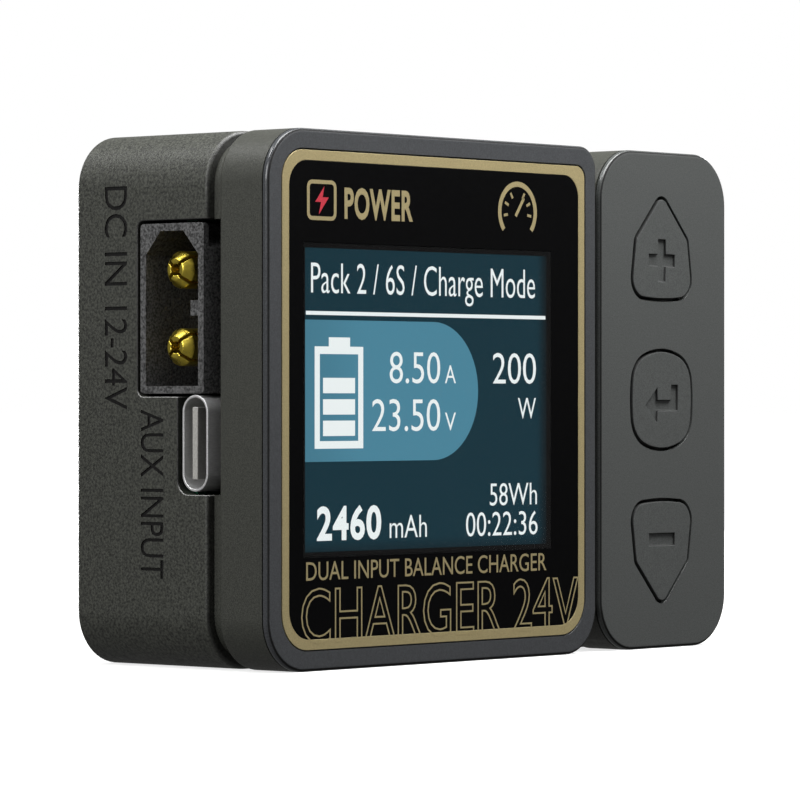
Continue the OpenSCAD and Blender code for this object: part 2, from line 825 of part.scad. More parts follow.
module fan_frame() {
    half = fan_size / 2;
    base_t = 1;
    color([0.1, 0.1, 0.1]) difference() {
        union() {
            difference() {
                along_y(y_fan0, y_fan1)
                    round_rect(-half, half, mid_z - half, mid_z + half, [2, 2, 2, 2]);
                bar_y(0, mid_z, fan_bore_r, y_fan0 - 1, y_fan1 + 1);
            }
            bar_y(0, mid_z, hub_r - 0.4, y_fan0, y_fan0 + base_t);
            for (a = [45 : 90 : 315]) translate([0, 0, mid_z]) rotate([0, a, 0])
                block([hub_r - 1, y_fan0, -0.8], [fan_bore_r + 0.5, y_fan0 + base_t, 0.8]);
        }
        bar_y(0, mid_z, 2.02, y_fan0 - 1, y_fan0 + 3);
        for (x = [-1, 1], z = [-1, 1])
            bar_y(x * fan_peg_at, mid_z + z * fan_peg_at, 1.3, y_fan0 - 1, y_fan1 + 1);
    }
}

module fan_bearing() {
    color([0.8, 0.65, 0.35]) difference() {
        bar_y(0, mid_z, 2, y_fan0 + 0.1, y_fan0 + 4.6);
        bar_y(0, mid_z, shaft_r + 0.03, y_fan0 + 0.6, y_fan0 + 6);
    }
}

// Four wound poles round the bearing
module fan_stator() {
    y0 = y_fan0 + 1.02;
    y1 = y_fan0 + 4;
    color([0.6, 0.35, 0.15]) difference() {
        union() {
            bar_y(0, mid_z, 3, y0, y1);
            for (a = [0 : 90 : 270]) translate([0, 0, mid_z]) rotate([0, a, 0]) {
                block([2.5, y0 + 0.3, -1.4], [4.9, y1 - 0.3, 1.4]);
                block([4.8, y0, -2.2], [5.6, y1, 2.2]);
            }
        }
        bar_y(0, mid_z, 2.03, y0 - 1, y1 + 1);
    }
}

module fan_shaft() {
    color([0.8, 0.8, 0.82]) bar_y(0, mid_z, shaft_r, y_fan0 + 0.8, y_fan1 - 1);
}

blade_t = 0.55;
blade_r = 11;                        // radius of a blade's camber arc
blade_sweep = 38;                    // arc angle of the blade's section

// Cambered section: an arc strip, drawn across the blade, point by point
module blade_section() {
    steps = 6;
    lean = 48;
    arc = [for (i = [0 : steps]) lean - blade_sweep / 2 + i * blade_sweep / steps];
    outer = [for (a = arc) (blade_r + blade_t / 2) * [cos(a), sin(a)]];
    inner = [for (i = [steps : -1 : 0]) (blade_r - blade_t / 2) * [cos(arc[i]), sin(arc[i])]];
    translate(-blade_r * [cos(lean), sin(lean)]) polygon(concat(outer, inner));
}

module fan_rotor() {
    y0 = y_fan0 + 1.4;
    y1 = y_fan1 - 0.5;
    mid_y = (y0 + y1) / 2;
    color([0.12, 0.12, 0.12]) difference() {
        union() {
            bar_y(0, mid_z, hub_r, y0, y1);
            intersection() {
                for (i = [0 : fan_blades - 1]) translate([0, mid_y, mid_z])
                    rotate([0, i * 360 / fan_blades, 0]) rotate([90, 0, 90])
                        linear_extrude(fan_bore_r) rotate(90) blade_section();
                difference() {
                    bar_y(0, mid_z, fan_bore_r - 0.4, y0, y1);
                    bar_y(0, mid_z, hub_r - 0.3, y0 - 1, y1 + 1);
                }
            }
        }
        bar_y(0, mid_z, hub_r - 0.9, y0 - 1, y1 - 0.9);
        bar_y(0, mid_z, shaft_r + 0.005, y0, y_fan1 - 0.99);
    }
}

// ---------- power parts on the main board ----------

// Moulded choke on a narrower foot
module power_inductor() {
    side = 12.6;
    height = 6.4;
    x0 = -31;
    z0 = 9;
    r = 1.8;
    foot = 1;
    y0 = y_main_back;
    color([0.2, 0.2, 0.21]) {
        along_y(y0 + 0.6, y0 + height)
            round_rect(x0, x0 + side, z0, z0 + side, [r, r, r, r]);
        block([x0 + foot, y0, z0 + foot], [x0 + side - foot, y0 + 0.7, z0 + side - foot]);
    }
}

// Cans with the bead that crimps them onto their rubber plug
module capacitors() {
    x = 21.6;
    r = 4;
    bead_r = 3.7;
    height = 9;
    color([0.75, 0.76, 0.78]) for (z = [9.5, 19.5]) {
        bar_y(x, z, r, y_main_back, y_main_back + 0.9);
        bar_y(x, z, bead_r, y_main_back + 0.8, y_main_back + 1.4);
        bar_y(x, z, r, y_main_back + 1.3, y_main_back + height);
    }
}

mosfet_t = 1;
pad_t = 0.5;
module mosfets() {
    color([0.1, 0.1, 0.1]) for (x = [-8, 0, 8], z = [mid_z - 6, mid_z + 6])
        block([x - 2.5, y_main_back, z - 3], [x + 2.5, y_main_back + mosfet_t, z + 3]);
}

module thermal_pad() {
    y0 = y_main_back + mosfet_t;
    color([0.55, 0.6, 0.65]) block([-11.5, y0, mid_z - 10], [11.5, y0 + pad_t, mid_z + 10]);
}

module heatsink() {
    y0 = y_main_back + mosfet_t + pad_t;
    color([0.7, 0.71, 0.73]) {
        block([-13, y0, mid_z - 12], [13, y0 + 0.8, mid_z + 12]);
        for (i = [-6 : 6]) block([i * 2 - 0.3, y0 + 0.7, mid_z - 12],
                                 [i * 2 + 0.3, y_fan0 - 0.2, mid_z + 12]);
    }
}

// Screws enter from the rear and end in the front shell's bosses
module case_screws() {
    top = y_back - 0.15;
    seat = y_back - head_recess;
    color([0.15, 0.15, 0.16]) for (x = screw_xs, z = screw_zs) difference() {
        union() {
            bar_y(x, z, screw_r, floor_y + 0.8, seat + little);
            bar_y(x, z, boss_r - 0.1, seat, top);
        }
        for (a = [0, 90]) translate([x, 0, z]) rotate([0, a, 0])
            block([-1.1, top - 0.6, -0.25], [1.1, top + 1, 0.25]);
    }
}

rear_shell();
front_shell();
head_bezel();
keypad_fascia();
gold_border();
screen_label();
screen_window();
lcd_panel();
lcd_frame();
lcd_flex();
key_plus();
key_enter();
key_minus();
key_switches();
plunger_plus();
plunger_enter();
plunger_minus();
front_pcb();
board_header();
main_pcb();
dc_inlet_housing();
dc_inlet_pins();
type_c_shell();
type_c_tongue();
battery_outlet_housing();
battery_outlet_sockets();
balance_socket_housing();
balance_socket_pins();
fan_frame();
fan_bearing();
fan_stator();
fan_shaft();
fan_rotor();
power_inductor();
capacitors();
mosfets();
thermal_pad();
heatsink();
controller_chip();
buzzer();
case_screws();
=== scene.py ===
import math

import bmesh
import bpy
from mathutils import Matrix, Vector


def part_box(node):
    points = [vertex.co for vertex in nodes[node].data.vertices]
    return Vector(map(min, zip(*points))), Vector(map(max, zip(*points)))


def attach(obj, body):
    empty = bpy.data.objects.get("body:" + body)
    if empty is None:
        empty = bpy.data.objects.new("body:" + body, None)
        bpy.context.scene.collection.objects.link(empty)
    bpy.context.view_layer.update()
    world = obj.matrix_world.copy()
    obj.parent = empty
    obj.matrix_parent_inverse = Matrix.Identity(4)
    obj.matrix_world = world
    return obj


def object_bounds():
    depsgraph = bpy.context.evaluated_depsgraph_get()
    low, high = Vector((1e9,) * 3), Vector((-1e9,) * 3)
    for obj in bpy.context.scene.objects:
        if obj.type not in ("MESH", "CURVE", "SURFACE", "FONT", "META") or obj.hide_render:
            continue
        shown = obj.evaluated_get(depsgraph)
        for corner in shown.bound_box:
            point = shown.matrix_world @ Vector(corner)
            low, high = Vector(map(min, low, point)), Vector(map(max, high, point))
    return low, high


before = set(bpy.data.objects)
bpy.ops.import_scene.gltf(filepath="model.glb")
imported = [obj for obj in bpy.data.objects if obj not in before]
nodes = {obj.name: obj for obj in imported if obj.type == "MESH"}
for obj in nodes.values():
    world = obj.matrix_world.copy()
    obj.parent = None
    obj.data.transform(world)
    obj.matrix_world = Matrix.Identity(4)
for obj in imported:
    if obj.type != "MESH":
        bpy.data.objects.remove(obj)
cad_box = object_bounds()
LOW, HIGH = cad_box
MM = 0.001                                        # one millimetre, in Blender's metres


# ---------- camera and stage ----------

CAMERA_YAW = math.radians(49.011)                 # turned this far to the right of square on
CAMERA_AHEAD = 282.81 * MM                        # lens to the plane of the screen's rim
CAMERA_ASIDE = 307.10 * MM                        # lens to the plane of the left side
CAMERA_LENS = 206.44                              # focal length in mm, on a sensor 36 mm wide
FLOOR_REACH = 6.0                                 # half the floor's width, in metres
GLOW_RADII = (0.06, 0.25)                         # the floor brightens between these, in metres
GLOW_LEVELS = (0.72, 0.98)                        # its own light there
WORLD_LIGHT = 0.164                               # how brightly the backdrop lights the charger
AIM = Vector((0, 0, 0.025))                       # the lights point here
WHITE = (1, 1, 1, 1)


def make_camera():
    """Camera in front and to the left of the charger, level with its middle."""
    data = bpy.data.cameras.new("camera")
    data.sensor_width = 36
    data.lens = CAMERA_LENS
    data.clip_start = 0.01
    data.clip_end = 20
    camera = bpy.data.objects.new("camera", data)
    bpy.context.scene.collection.objects.link(camera)
    camera.location = (LOW.x - CAMERA_ASIDE, LOW.y - CAMERA_AHEAD, (LOW.z + HIGH.z) / 2)
    forward = Vector((math.sin(CAMERA_YAW), math.cos(CAMERA_YAW), 0))
    camera.rotation_euler = forward.to_track_quat("-Z", "Y").to_euler()
    bpy.context.scene.camera = camera


def make_floor():
    """Pale floor with a faint shadow, which throws no light back onto the case."""
    mesh = bpy.data.meshes.new("floor")
    corners = [(x * FLOOR_REACH, y * FLOOR_REACH, 0) for x, y in ((-1, -1), (1, -1), (1, 1), (-1, 1))]
    mesh.from_pydata(corners, [], [(0, 1, 2, 3)])
    floor = bpy.data.objects.new("floor", mesh)
    bpy.context.scene.collection.objects.link(floor)
    floor.visible_diffuse = False
    floor.visible_glossy = False
    floor.visible_transmission = False
    mesh.materials.append(floor_paint())


def floor_paint():
    """Matt paint with a glow of its own, which is weaker close to the charger."""
    paint = material("floor_paint", grey(0.45), 1.0, specular=0.0)
    tree = paint.node_tree
    shader = shader_of(paint)
    shader.inputs["Emission Color"].default_value = WHITE
    place = tree.nodes.new("ShaderNodeTexCoord")
    away = tree.nodes.new("ShaderNodeVectorMath")
    away.operation = "LENGTH"
    tree.links.new(place.outputs["Object"], away.inputs[0])
    glow = tree.nodes.new("ShaderNodeMapRange")
    glow.inputs["From Min"].default_value = GLOW_RADII[0]
    glow.inputs["From Max"].default_value = GLOW_RADII[1]
    glow.inputs["To Min"].default_value = GLOW_LEVELS[0]
    glow.inputs["To Max"].default_value = GLOW_LEVELS[1]
    tree.links.new(away.outputs["Value"], glow.inputs["Value"])
    tree.links.new(glow.outputs["Result"], shader.inputs["Emission Strength"])
    return paint


def soft_box(name, at, size, power):
    """Square light of a size in metres and a power in watts, hidden from the camera itself."""
    data = bpy.data.lights.new(name, "AREA")
    data.size = size
    data.energy = power
    light = bpy.data.objects.new(name, data)
    bpy.context.scene.collection.objects.link(light)
    light.location = at
    light.rotation_euler = (AIM - Vector(at)).to_track_quat("-Z", "Y").to_euler()
    light.visible_camera = False


def make_light():
    """Three lights above, one to the left, two behind and one low to the right."""
    soft_box("key_light", (0.08, -0.08, 0.20), 0.12, 0.74)
    soft_box("top_light", (-0.02, -0.036, 0.16), 0.09, 0.26)
    soft_box("corner_light", (-0.13, 0.06, 0.21), 0.06, 0.2)
    soft_box("left_light", (-0.25, -0.02, 0.12), 0.12, 0.36)
    soft_box("edge_light", (-0.10, 0.295, 0.355), 0.07, 0.1)
    soft_box("back_light", (0.05, 0.35, 0.03), 0.06, 0.9)
    soft_box("right_light", (0.40, 0.12, 0.08), 0.15, 1.0)


def make_world():
    """White backdrop behind the charger, which lights it only dimly."""
    world = bpy.data.worlds.new("studio")
    bpy.context.scene.world = world
    world.use_nodes = True
    tree = world.node_tree
    backdrop = tree.nodes["Background"]
    backdrop.inputs["Color"].default_value = WHITE
    backdrop.inputs["Strength"].default_value = 1.0
    glow = tree.nodes.new("ShaderNodeBackground")
    glow.inputs["Color"].default_value = WHITE
    glow.inputs["Strength"].default_value = WORLD_LIGHT
    path = tree.nodes.new("ShaderNodeLightPath")
    mix = tree.nodes.new("ShaderNodeMixShader")
    tree.links.new(path.outputs["Is Camera Ray"], mix.inputs[0])
    tree.links.new(glow.outputs[0], mix.inputs[1])
    tree.links.new(backdrop.outputs[0], mix.inputs[2])
    tree.links.new(mix.outputs[0], tree.nodes["World Output"].inputs["Surface"])


# ---------- materials: tools ----------

PIXEL = 0.33                                      # one pixel of the display, in mm
TRACK_REPEATS = 220                               # of the circuit board's pattern, in a metre
WIRE_REPEATS = 700                                # sets how close a winding's turns lie


def material(name, colour, roughness, metallic=0.0, specular=0.5):
    """Material with one Principled shader, the same all over."""
    made = bpy.data.materials.new(name)
    made.use_nodes = True
    shader = made.node_tree.nodes["Principled BSDF"]
    shader.inputs["Base Color"].default_value = (*colour, 1)
    shader.inputs["Roughness"].default_value = roughness
    shader.inputs["Metallic"].default_value = metallic
    shader.inputs["Specular IOR Level"].default_value = specular
    return made


def shader_of(made):
    """The material's Principled shader."""
    return made.node_tree.nodes["Principled BSDF"]


def noise(made, cell, detail=2.0, stretch=(1, 1, 1)):
    """Noise whose cells are about cell millimetres across, from 0 to 1."""
    tree = made.node_tree
    place = tree.nodes.new("ShaderNodeTexCoord")
    mapping = tree.nodes.new("ShaderNodeMapping")
    mapping.inputs["Scale"].default_value = stretch
    tree.links.new(place.outputs["Object"], mapping.inputs["Vector"])
    field = tree.nodes.new("ShaderNodeTexNoise")
    field.inputs["Scale"].default_value = 1 / (cell * MM)
    field.inputs["Detail"].default_value = detail
    tree.links.new(mapping.outputs["Vector"], field.inputs["Vector"])
    return field.outputs["Fac"]


def vary_colour(made, source, dark, light, low=0.35, high=0.65):
    """Colours the surface from dark to light, as the source runs from low to high."""
    tree = made.node_tree
    ramp = tree.nodes.new("ShaderNodeValToRGB")
    ramp.color_ramp.elements[0].position = low
    ramp.color_ramp.elements[0].color = (*dark, 1)
    ramp.color_ramp.elements[1].position = high
    ramp.color_ramp.elements[1].color = (*light, 1)
    tree.links.new(source, ramp.inputs["Fac"])
    tree.links.new(ramp.outputs["Color"], shader_of(made).inputs["Base Color"])


def vary_roughness(made, source, low, high):
    """Spreads the roughness from low to high over the middle of the source's range."""
    tree = made.node_tree
    span = tree.nodes.new("ShaderNodeMapRange")
    span.inputs["From Min"].default_value = 0.3
    span.inputs["From Max"].default_value = 0.7
    span.inputs["To Min"].default_value = low
    span.inputs["To Max"].default_value = high
    tree.links.new(source, span.inputs["Value"])
    tree.links.new(span.outputs["Result"], shader_of(made).inputs["Roughness"])


def bump(made, source, depth, strength=1.0):
    """Adds bump of depth millimetres, on top of any that the material already has."""
    tree = made.node_tree
    normal = shader_of(made).inputs["Normal"]
    node = tree.nodes.new("ShaderNodeBump")
    node.inputs["Distance"].default_value = depth * MM
    node.inputs["Strength"].default_value = strength
    if normal.is_linked:
        tree.links.new(normal.links[0].from_socket, node.inputs["Normal"])
    tree.links.new(source, node.inputs["Height"])
    tree.links.new(node.outputs["Normal"], normal)


def grey(level, warm=0.0):
    """Grey of one level, made warmer by the given share."""
    return (level * (1 + warm), level, level * (1 - warm))


def moulded(name, colour, roughness, cell, depth, spread=0.25, specular=0.5):
    """Spark-eroded moulded plastic: fine grain, slightly uneven colour and gloss.

    The grain's cells and its depth are in millimetres. Spread is how much its colour varies.
    """
    made = material(name, colour, roughness, specular=specular)
    grain = noise(made, cell, 3)
    vary_colour(made, grain, [c * (1 - spread) for c in colour], [c * (1 + spread) for c in colour])
    vary_roughness(made, noise(made, cell * 2.3, 2), roughness - 0.07, roughness + 0.07)
    bump(made, grain, depth)
    unevenness = noise(made, 4, 1)
    bump(made, unevenness, 0.02, 0.4)
    return made


def by_turn(made, stops, axis="Y", sign=-1):
    """Value that depends on which way the surface faces.

    Each stop is (how far it faces along the axis, value), where 0 is square to the axis and 1 is
    straight along it. The axis is -Y, out of the front, unless another is given.
    """
    tree = made.node_tree
    place = tree.nodes.new("ShaderNodeTexCoord")
    split = tree.nodes.new("ShaderNodeSeparateXYZ")
    tree.links.new(place.outputs["Normal"], split.inputs[0])
    towards = tree.nodes.new("ShaderNodeMath")
    towards.operation = "MULTIPLY"
    towards.inputs[1].default_value = sign
    tree.links.new(split.outputs[axis], towards.inputs[0])
    ramp = tree.nodes.new("ShaderNodeValToRGB")
    while len(ramp.color_ramp.elements) < len(stops):
        ramp.color_ramp.elements.new(0.5)
    for stop, (position, value) in zip(ramp.color_ramp.elements, stops):
        stop.position = position
        stop.color = (value, value, value, 1)
    tree.links.new(towards.outputs["Value"], ramp.inputs["Fac"])
    return ramp.outputs["Color"]


def scale_colour(made, factor):
    """Multiplies the surface's colour, which is linked already, by a factor's socket."""
    tree = made.node_tree
    colour = shader_of(made).inputs["Base Color"]
    tint = tree.nodes.new("ShaderNodeVectorMath")
    tint.operation = "MULTIPLY"
    tree.links.new(colour.links[0].from_socket, tint.inputs[0])
    tree.links.new(factor, tint.inputs[1])
    tree.links.new(tint.outputs["Vector"], colour)


def scale_roughness(made, factor, gain):
    """Multiplies the surface's roughness by a factor's socket and by a number."""
    tree = made.node_tree
    rough = shader_of(made).inputs["Roughness"]
    share = tree.nodes.new("ShaderNodeMath")
    share.operation = "MULTIPLY"
    tree.links.new(rough.links[0].from_socket, share.inputs[0])
    tree.links.new(factor, share.inputs[1])
    whole = tree.nodes.new("ShaderNodeMath")
    whole.operation = "MULTIPLY"
    whole.inputs[1].default_value = gain
    tree.links.new(share.outputs["Value"], whole.inputs[0])
    tree.links.new(whole.outputs["Value"], rough)


def scale_grain(made, factor):
    """Sets the strength of all the material's bump from a factor's socket."""
    for node in made.node_tree.nodes:
        if node.type == "BUMP":
            made.node_tree.links.new(factor, node.inputs["Strength"])


def plate(name, colour, roughness, cell):
    """Face plate's plastic: its turned edge is smooth and glossy, beyond a painted dark line that
    stands in for the edge's dark reflection.
    """
    made = moulded(name, colour, roughness, cell, 0.008)
    # Colour painted dark where the edge turns from the face: a painted dark reflection.
    painted_darkening = by_turn(made, ((0.62, 1.0), (0.72, 0.08), (0.94, 0.08), (0.985, 1.0)))
    dullness = by_turn(made, ((0.62, 0.18), (0.72, 1.0), (0.93, 1.0), (0.985, 0.5)))
    grain = by_turn(made, ((0.6, 0.1), (0.8, 1.0)))
    scale_colour(made, painted_darkening)
    scale_roughness(made, dullness, 2)
    scale_grain(made, grain)
    return made


def paint_side_shade(made):
    """Painted shade: darker on the sides that turn from the front, as inside the gap round a key and
    in the symbols' walls, and duller there.
    """
    # Colour painted darker on the sides, as shade.
    painted_darkening = by_turn(made, ((0.0, 0.15), (0.72, 0.25), (0.98, 1.0)))
    dullness = by_turn(made, ((0.9, 1.0), (0.985, 0.5)))
    scale_colour(made, painted_darkening)
    scale_roughness(made, dullness, 2)
    return made


def shaded(made, stops, axis="Y", sign=-1):
    """The material with its colour scaled by which way the surface faces, to paint light and shade.
    """
    scale_colour(made, by_turn(made, stops, axis, sign))
    return made


def metal(name, colour, roughness, cell=0.4, depth=0.002, stretch=(1, 1, 1), metallic=1.0):
    """Plated or rolled metal with faint streaks."""
    made = material(name, colour, roughness, metallic)
    streak = noise(made, cell, 3, stretch)
    vary_colour(made, streak, [c * 0.85 for c in colour], colour)
    vary_roughness(made, streak, roughness - 0.06, roughness + 0.08)
    bump(made, streak, depth)
    return made


def lit(name, colour):
    """A lit part of the display, with the faint grid of its pixels."""
    made = material(name, (0.004, 0.004, 0.004), 0.9, specular=0.0)
    tree = made.node_tree
    place = tree.nodes.new("ShaderNodeTexCoord")
    dots = tree.nodes.new("ShaderNodeTexChecker")
    dots.inputs["Scale"].default_value = 2 / (PIXEL * MM)
    dots.inputs["Color1"].default_value = (*colour, 1)
    dots.inputs["Color2"].default_value = (*[c * 0.95 for c in colour], 1)
    tree.links.new(place.outputs["Object"], dots.inputs["Vector"])
    tree.links.new(dots.outputs["Color"], shader_of(made).inputs["Emission Color"])
    shader_of(made).inputs["Emission Strength"].default_value = 1.0
    return made


def fade(made, axis, edge, reach, dim):
    """Dims a lit part at an edge across the axis, back to full light at a reach in millimetres."""
    tree = made.node_tree
    colour = shader_of(made).inputs["Emission Color"]
    place = tree.nodes.new("ShaderNodeTexCoord")
    split = tree.nodes.new("ShaderNodeSeparateXYZ")
    tree.links.new(place.outputs["Object"], split.inputs[0])
    amount = tree.nodes.new("ShaderNodeMapRange")
    amount.interpolation_type = "SMOOTHSTEP"
    amount.inputs["From Min"].default_value = edge
    amount.inputs["From Max"].default_value = edge + reach * MM
    amount.inputs["To Min"].default_value = dim
    amount.inputs["To Max"].default_value = 1
    tree.links.new(split.outputs[axis], amount.inputs["Value"])
    scale = tree.nodes.new("ShaderNodeVectorMath")
    scale.operation = "SCALE"
    tree.links.new(colour.links[0].from_socket, scale.inputs[0])
    tree.links.new(amount.outputs["Result"], scale.inputs["Scale"])
    tree.links.new(scale.outputs["Vector"], colour)


def board_material():
    """Green solder mask over faint copper tracks."""
    made = material("board_mask", (0.01, 0.07, 0.035), 0.35)
    tree = made.node_tree
    place = tree.nodes.new("ShaderNodeTexCoord")
    swap = tree.nodes.new("ShaderNodeMapping")
    swap.inputs["Rotation"].default_value = (math.radians(90), 0, 0)
    tree.links.new(place.outputs["Object"], swap.inputs["Vector"])
    tracks = tree.nodes.new("ShaderNodeTexBrick")
    tracks.inputs["Scale"].default_value = TRACK_REPEATS
    tracks.inputs["Color1"].default_value = (0.012, 0.09, 0.045, 1)
    tracks.inputs["Color2"].default_value = (0.01, 0.07, 0.035, 1)
    tracks.inputs["Mortar"].default_value = (0.03, 0.16, 0.08, 1)
    tracks.inputs["Mortar Size"].default_value = 0.03
    tree.links.new(swap.outputs["Vector"], tracks.inputs["Vector"])
    tree.links.new(tracks.outputs["Color"], shader_of(made).inputs["Base Color"])
    bump(made, tracks.outputs["Fac"], 0.03)
    vary_roughness(made, noise(made, 1.5), 0.3, 0.45)
    return made


def wound_material():
    """Enamelled copper wire, as fine parallel turns."""
    made = material("winding", (0.55, 0.2, 0.06), 0.3, metallic=1.0)
    tree = made.node_tree
    place = tree.nodes.new("ShaderNodeTexCoord")
    turns = tree.nodes.new("ShaderNodeTexWave")
    turns.bands_direction = "Y"
    turns.inputs["Scale"].default_value = WIRE_REPEATS
    turns.inputs["Distortion"].default_value = 0.4
    tree.links.new(place.outputs["Object"], turns.inputs["Vector"])
    vary_colour(made, turns.outputs["Fac"], (0.25, 0.08, 0.02), (0.62, 0.24, 0.08), 0.1, 0.8)
    bump(made, turns.outputs["Fac"], 0.08)
    return made


def clear_material():
    """Clear plastic of the window, with little glare."""
    made = material("window_pane", (1, 1, 1), 0.03)
    shader = shader_of(made)
    shader.inputs["Transmission Weight"].default_value = 1.0
    shader.inputs["IOR"].default_value = 1.3
    shader.inputs["Specular IOR Level"].default_value = 0.1
    vary_roughness(made, noise(made, 6), 0.02, 0.05)
    return made


def gold_material():
    """Satin gold print with a fine metallic flake."""
    colour = (0.43, 0.355, 0.182)
    made = material("gold_print", colour, 0.42, metallic=0.35)
    flake = noise(made, 0.12, 2)
    vary_colour(made, flake, [c * 0.88 for c in colour], [c * 1.12 for c in colour])
    vary_roughness(made, noise(made, 0.3), 0.36, 0.5)
    bump(made, flake, 0.002)
    return made


# ---------- materials: the charger's own ----------

CASE = (0.0345, 0.036, 0.0295)                    # linear colours of the three dark plastics
FACE = (0.0465, 0.0492, 0.0532)
PANEL = (0.066, 0.070, 0.068)

# By the name of a node, or else by the name of its slot. After the name and colour of a moulded
# plastic come its roughness, the size and depth of its grain in mm, its spread and its specular
# level. A metal has its roughness, the size and depth of its streaks in mm, their stretch and how
# metallic it is. What is left out is as the function says.
MATERIALS = {
    # The rear shell's faces that face the front, seen in the groove, are painted darker as shade.
    "rear_shell": shaded(moulded("case_coarse", CASE, 0.5, 0.24, 0.03, 0.6),
                         ((0.3, 1.0), (0.8, 0.35))),
    "front_shell": moulded("case_fine", CASE, 0.48, 0.13, 0.01, 0.35),
    "head_bezel": plate("bezel_plastic", FACE, 0.5, 0.11),
    "keypad_fascia": plate("fascia_plastic", PANEL, 0.52, 0.12),
    "key_plastic": paint_side_shade(moulded("key_cap", PANEL, 0.5, 0.12, 0.008, 0.25)),
    "label_gloss": moulded("label_black", (0.0028, 0.0028, 0.003), 0.5, 0.3, 0.001, 0.1, 0.02),
    "window_clear": clear_material(),
    "lcd_glass": moulded("lcd_black", (0.001, 0.0012, 0.0015), 0.6, 0.5, 0.001, 0.2, 0.0),
    "frame_white": moulded("frame_plastic", grey(0.6), 0.5, 0.3, 0.004, 0.05),
    "flex_film": moulded("flex_amber", (0.35, 0.12, 0.02), 0.35, 0.5, 0.003),
    "switch_steel": metal("switch_steel", grey(0.6), 0.3),
    "plunger_plastic": moulded("plunger_cream", (0.55, 0.42, 0.12), 0.45, 0.2, 0.004),
    "board": board_material(),
    "header_plastic": moulded("header_black", grey(0.02), 0.45, 0.2, 0.006),
    "inlet_plastic": moulded("inlet_black", grey(0.062), 0.5, 0.22, 0.035, 0.85),
    "gold_contact": metal("gold_plate", (0.80, 0.63, 0.09), 0.3, 0.8),
    "shell_steel": metal("shell_steel", grey(0.7), 0.4, 0.5, 0.002, (1, 1, 6), 0.65),
    # The tongue's faces towards the front are painted darker as shade.
    "tongue_plastic": shaded(moulded("tongue_grey", (0.36, 0.355, 0.33), 0.4, 0.2, 0.004, 0.1),
                             ((0.3, 1.0), (0.9, 0.35))),
    "socket_plastic": moulded("socket_white", (0.72, 0.71, 0.66), 0.42, 0.25, 0.006, 0.06),
    "tin_contact": metal("tin_plate", (0.75, 0.74, 0.72), 0.35),
    "fan_plastic": moulded("fan_black", grey(0.018), 0.42, 0.2, 0.008),
    "bearing_bronze": metal("bearing_bronze", (0.6, 0.36, 0.14), 0.4, 0.15, 0.01),
    "winding_copper": wound_material(),
    "ferrite": moulded("ferrite_grey", grey(0.05), 0.7, 0.25, 0.03, 0.4),
    "can_aluminium": metal("can_sleeve", grey(0.7), 0.3, 0.6, 0.002, (1, 8, 1)),
    "chip_black": moulded("chip_epoxy", grey(0.015), 0.55, 0.15, 0.006),
    "pad_silicone": moulded("pad_blue_grey", (0.2, 0.27, 0.34), 0.8, 0.3, 0.02),
    "sink_aluminium": metal("sink_anodised", grey(0.55), 0.38, 0.5, 0.003, (1, 8, 1)),
    "screw_black": metal("screw_black", grey(0.06), 0.35, 0.3, 0.004),
    "gold_foil": gold_material(),
}

# The rear shell's rounded edges: glossier, and painted light where they face up as a painted
# highlight
PAINTED_EDGE_HIGHLIGHT = shaded(moulded("case_edge_highlight_paint", (0.26, 0.26, 0.25), 0.3, 0.3, 0.001),
                    ((0.25, 0.13), (0.5, 1.0)), "Z", 1)
ENGRAVED = moulded("engraved_dark", grey(0.008, 0.03), 0.5, 0.15, 0.006, 0.2, 0.2)
RED = moulded("accent_red", (0.5, 0.03, 0.05), 0.45, 0.2, 0.002, 0.1)


def dress_nodes():
    """Gives each CAD node the material of its own name, or else of its slot."""
    for name, node in nodes.items():
        slot = node.material_slots[0].material.name.split(".")[0]
        node.material_slots[0].material = MATERIALS.get(name) or MATERIALS[slot]


# ---------- finishing of the CAD parts' edges ----------

WELD_REACH = 0.001 * MM                           # corners closer than this become one
FLAT_ANGLE = math.radians(0.5)                    # faces this close to one plane become one
SHARP_ANGLE = math.radians(32)                    # edges sharper than this are rounded
PAINTED_HIGHLIGHT_NODES = ("rear_shell",)                     # their rounded edges get a painted highlight
SOFT_EDGES = {                                    # width of the rounding, in mm
    "rear_shell": 0.1, "front_shell": 0.06, "head_bezel": 0.04, "keypad_fascia": 0.06,
    "key_plus": 0.1, "key_enter": 0.1, "key_minus": 0.1, "gold_border": 0.03,
    "screen_label": 0.03, "dc_inlet_housing": 0.14, "dc_inlet_pins": 0.1,
    "type_c_shell": 0.07, "type_c_tongue": 0.1, "battery_outlet_housing": 0.12,
    "battery_outlet_sockets": 0.1, "balance_socket_housing": 0.1, "balance_socket_pins": 0.1,
    "fan_rotor": 0.08, "fan_bearing": 0.08, "fan_stator": 0.1,
    "power_inductor": 0.25, "capacitors": 0.2, "mosfets": 0.08, "heatsink": 0.08,
    "controller_chip": 0.08, "buzzer": 0.2, "case_screws": 0.07, "front_pcb": 0.05,
    "main_pcb": 0.05, "board_header": 0.1, "lcd_frame": 0.08, "lcd_panel": 0.05,
    "key_switches": 0.1, "thermal_pad": 0.08,
}


